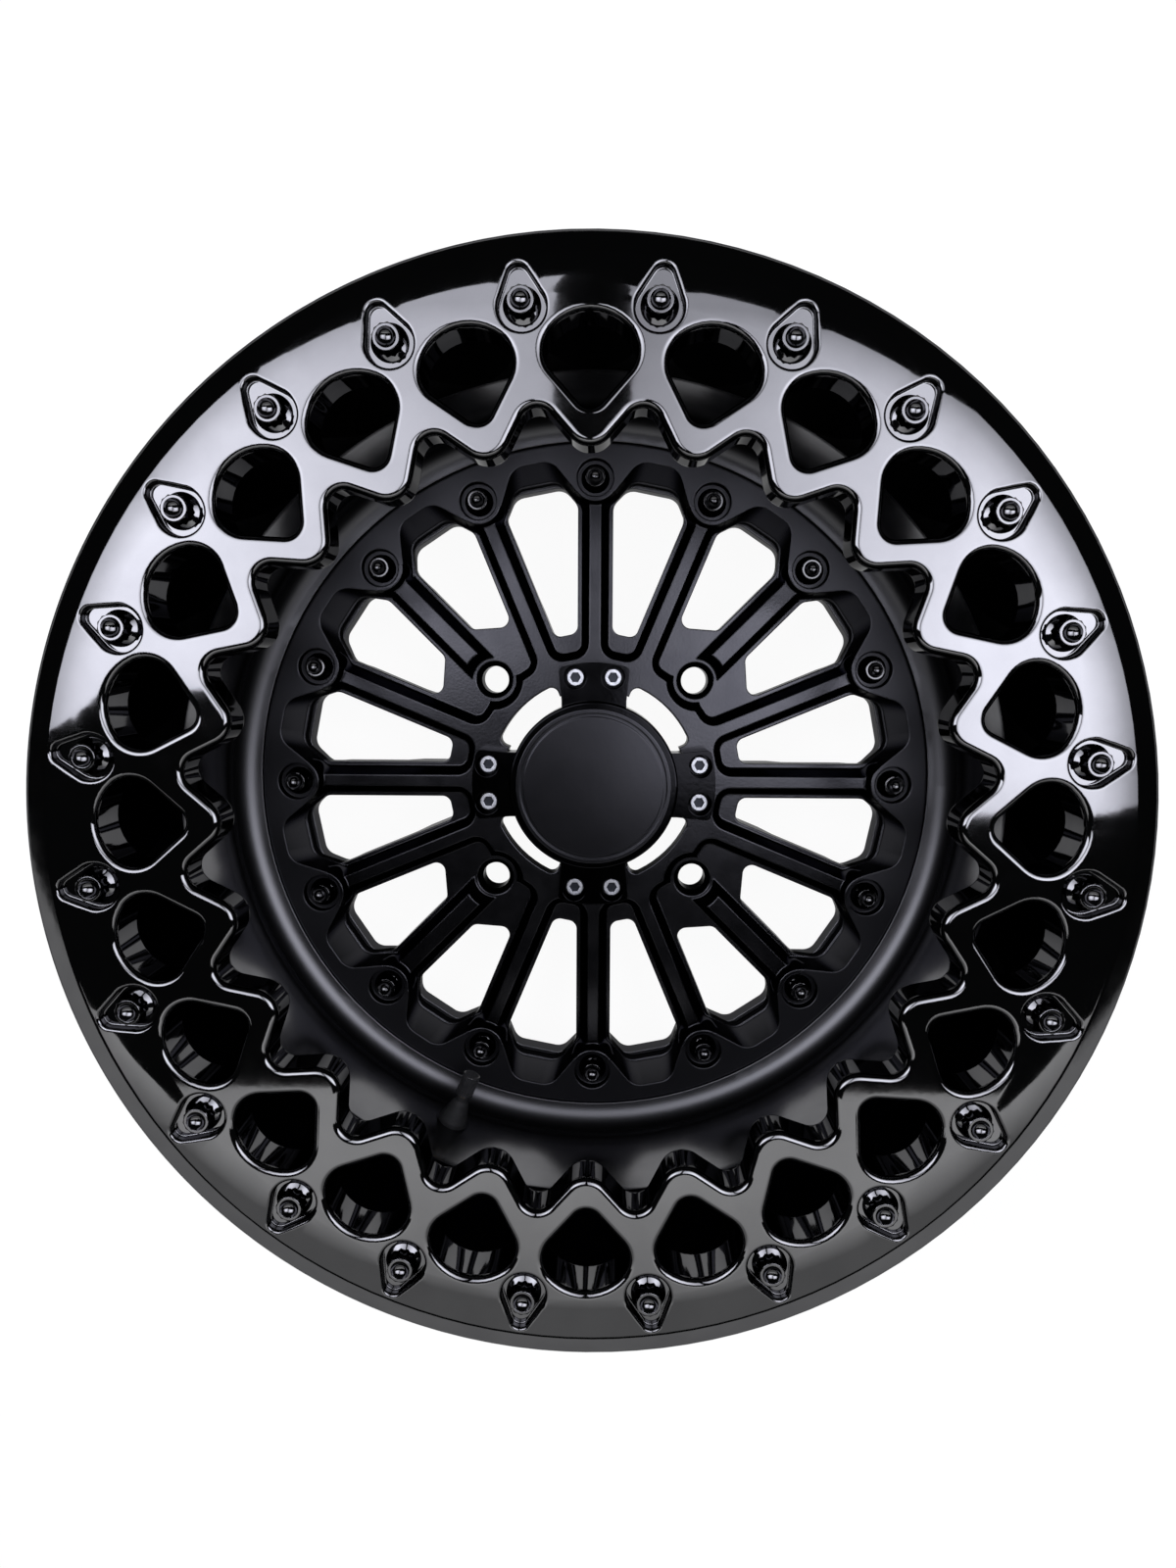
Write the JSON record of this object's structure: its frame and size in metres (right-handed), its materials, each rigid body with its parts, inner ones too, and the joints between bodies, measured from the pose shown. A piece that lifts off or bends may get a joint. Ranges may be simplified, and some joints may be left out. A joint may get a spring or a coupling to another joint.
{
  "type": "beadlock wheel",
  "caption": "Black beadlock wheel: scalloped clamp ring bolted to a deep barrel, a recessed multi-spoke centre on lug holes, round hub cap and a snap-in tyre valve.",
  "frame": {"origin": "centre of the lug circle on the hub face, the plane that seats on the hub", "axes": "+Z along the axle towards the outboard side with the clamp ring, +Y to the top of the wheel as pictured, +X to its right"},
  "size_m": [0.4647, 0.4648, 0.2612],
  "materials": {
    "gloss_black": "gloss black coating on machined aluminium",
    "satin_black": "satin black coating on aluminium",
    "satin_black_centre": "satin black coating with a slight orange peel",
    "satin_cap": "satin dark coating, bare face",
    "black_bolt": "gloss black oxide",
    "zinc": "bright zinc",
    "rubber": "matte black rubber",
    "brass": "plain turned brass",
    "spring_steel": "bright spring wire",
    "cap_plastic": "matte black moulded plastic"
  },
  "bodies": {
    "wheel": {"barrel": "satin_black", "beadlock_ring": "gloss_black", "beadlock_bolts": "black_bolt", "center_disc": "satin_black_centre", "center_bolts": "black_bolt", "cap_bracket": "gloss_black", "center_cap": "satin_cap", "cap_o_ring": "rubber", "cap_screws": "zinc", "valve_stem": "rubber", "valve_insert": "brass", "valve_core_body": "brass", "valve_core_spring": "spring_steel"},
    "dust_cap": {"valve_cap": "cap_plastic", "cap_gasket": "rubber"},
    "core_pin": {"valve_core_pin": "brass", "valve_core_seal": "rubber"}
  },
  "joints": [
    {"name": "dust_cap_off", "type": "slide", "parent": "wheel", "child": "dust_cap", "axis": [0.3796, 0.9165, 0.1259], "range_m": [0, 0.02]},
    {"name": "core_pin_press", "type": "slide", "parent": "wheel", "child": "core_pin", "axis": [-0.3796, -0.9165, -0.1259], "range_m": [0, 0.0009], "stiffness_N_per_m": 1500, "springref_m": -0.0005, "deforming": ["valve_core_spring"]}
  ]
}
